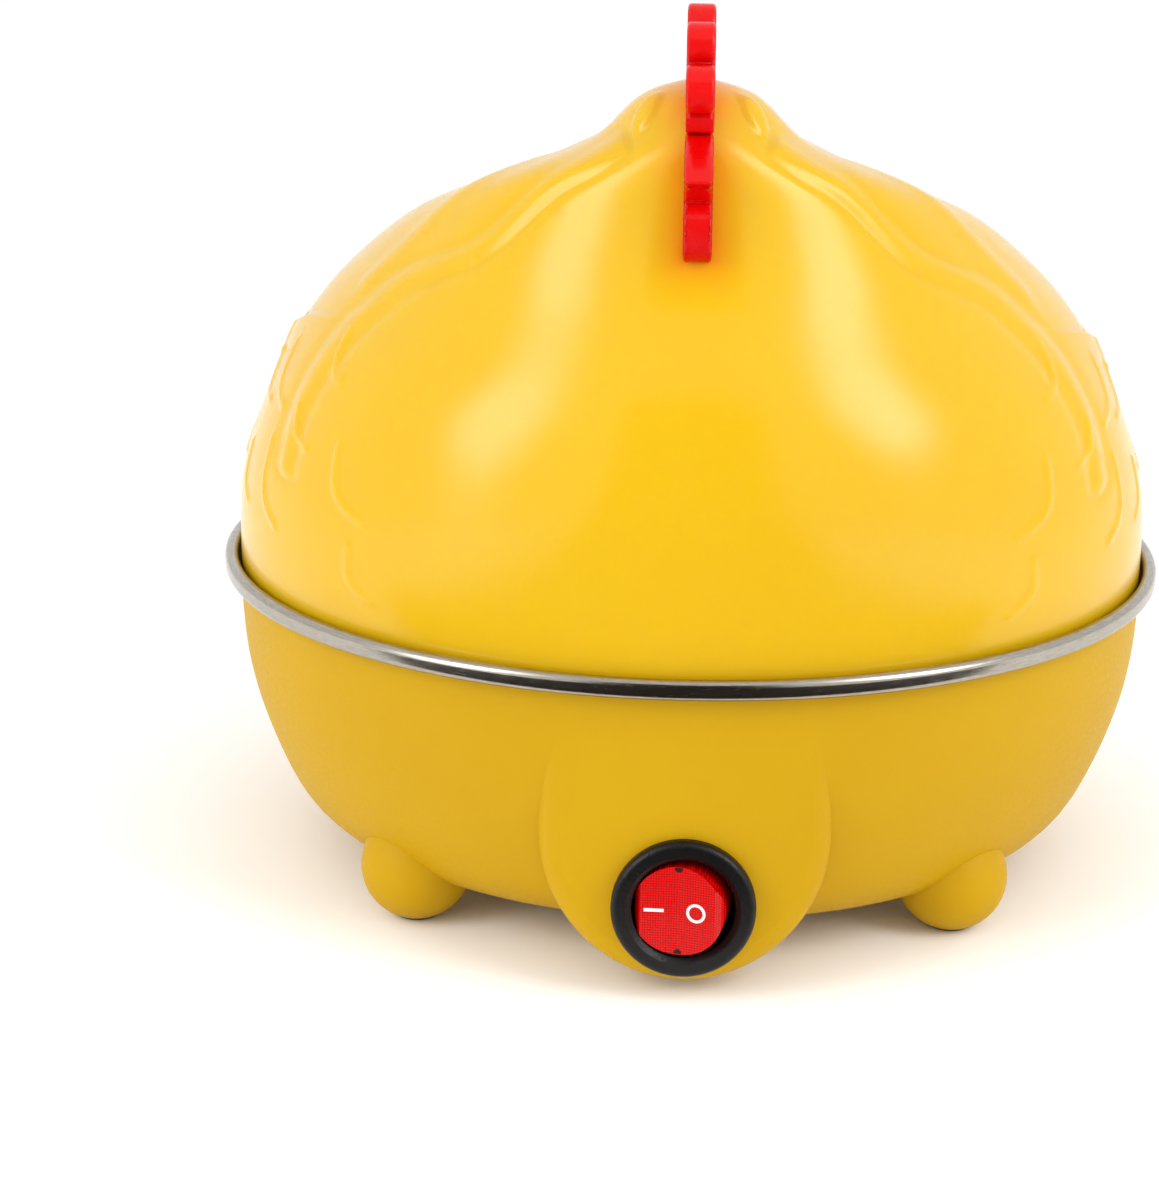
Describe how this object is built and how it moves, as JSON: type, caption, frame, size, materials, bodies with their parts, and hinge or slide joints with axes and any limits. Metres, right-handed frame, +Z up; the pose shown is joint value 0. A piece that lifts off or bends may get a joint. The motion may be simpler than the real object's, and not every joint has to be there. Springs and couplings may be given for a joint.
{
  "type": "egg cooker",
  "caption": "Hen-shaped steam egg cooker: lift-off domed lid with comb, beak and tail grip, steel-rimmed heating bowl, bowl-shaped base with a round rocker switch.",
  "frame": {"origin": "on the bowl's axis, on the surface that the four feet stand on", "axes": "+Z up; -Y towards the front, where the beak and the switch are; +Y towards the tail"},
  "size_m": [0.17, 0.1728, 0.1558],
  "materials": {
    "lid_plastic": "glossy translucent yellow",
    "red_plastic": "glossy red",
    "base_plastic": "satin golden yellow",
    "bowl_steel": "rolled and brushed",
    "zinc_steel": "zinc plated",
    "tray_plastic": "moulded, semi-matt",
    "rubber_black": "matt",
    "foot_rubber": "matt",
    "gasket_silicone": "matt",
    "heater_aluminium": "as rolled",
    "mica": "layered sheet",
    "thermostat_phenolic": "moulded",
    "sleeve_fibre": "woven glass fibre",
    "block_plastic": "moulded",
    "switch_black": "satin, fine grain",
    "switch_brass": "plain",
    "rocker_red": "translucent, prism face",
    "lamp_glass": "clear",
    "wire_brown": "silicone insulation",
    "wire_blue": "silicone insulation",
    "wire_sleeve": "glass-fibre sleeve"
  },
  "bodies": {
    "base": {"base_housing": "base_plastic", "bottom_cover": "base_plastic", "bottom_screws": "zinc_steel", "cable_gland": "rubber_black", "centre_nuts": "zinc_steel", "centre_stud": "zinc_steel", "foot_pads": "foot_rubber", "fuse_clip": "zinc_steel", "fuse_sleeve": "sleeve_fibre", "heater_plate": "heater_aluminium", "heating_bowl": "bowl_steel", "heating_element": "mica", "insulation_disc": "mica", "lead_heater": "wire_sleeve", "lead_live": "wire_brown", "lead_neutral": "wire_blue", "lead_switched": "wire_brown", "lead_thermostat": "wire_sleeve", "pressure_plate": "zinc_steel", "rim_gasket": "gasket_silicone", "strap_screws": "zinc_steel", "support_strap": "zinc_steel", "switch_housing": "switch_black", "switch_terminals": "switch_brass", "terminal_block": "block_plastic", "terminal_screws": "zinc_steel", "thermal_fuse": "heater_aluminium", "thermostat": "thermostat_phenolic", "thermostat_bracket": "zinc_steel", "thermostat_screws": "zinc_steel"},
    "lid": {"lid_shell": "lid_plastic", "comb": "red_plastic", "beak_and_wattle": "red_plastic", "tail_handle": "red_plastic", "tail_screws": "zinc_steel"},
    "tray": {"egg_tray": "tray_plastic", "tray_bails": "tray_plastic"},
    "rocker": {"switch_rocker": "rocker_red", "rocker_plunger": "switch_brass", "rocker_spring": "zinc_steel", "indicator_lamp": "lamp_glass"}
  },
  "joints": [
    {"name": "lid_lift", "type": "slide", "parent": "base", "child": "lid", "axis": [0, 0, 1], "range_m": [0, 0.16]},
    {"name": "tray_lift", "type": "slide", "parent": "base", "child": "tray", "axis": [0, 0, 1], "range_m": [0, 0.07]},
    {"name": "rocker_tilt", "type": "hinge", "parent": "base", "child": "rocker", "pos_m": [0, -0.0794, 0.0163], "axis": [0, 0, 1], "range_deg": [0, 22]}
  ],
  "couplings": [
    {"joint": "tray_lift", "follows": "lid_lift", "ratio": 0.4375}
  ]
}
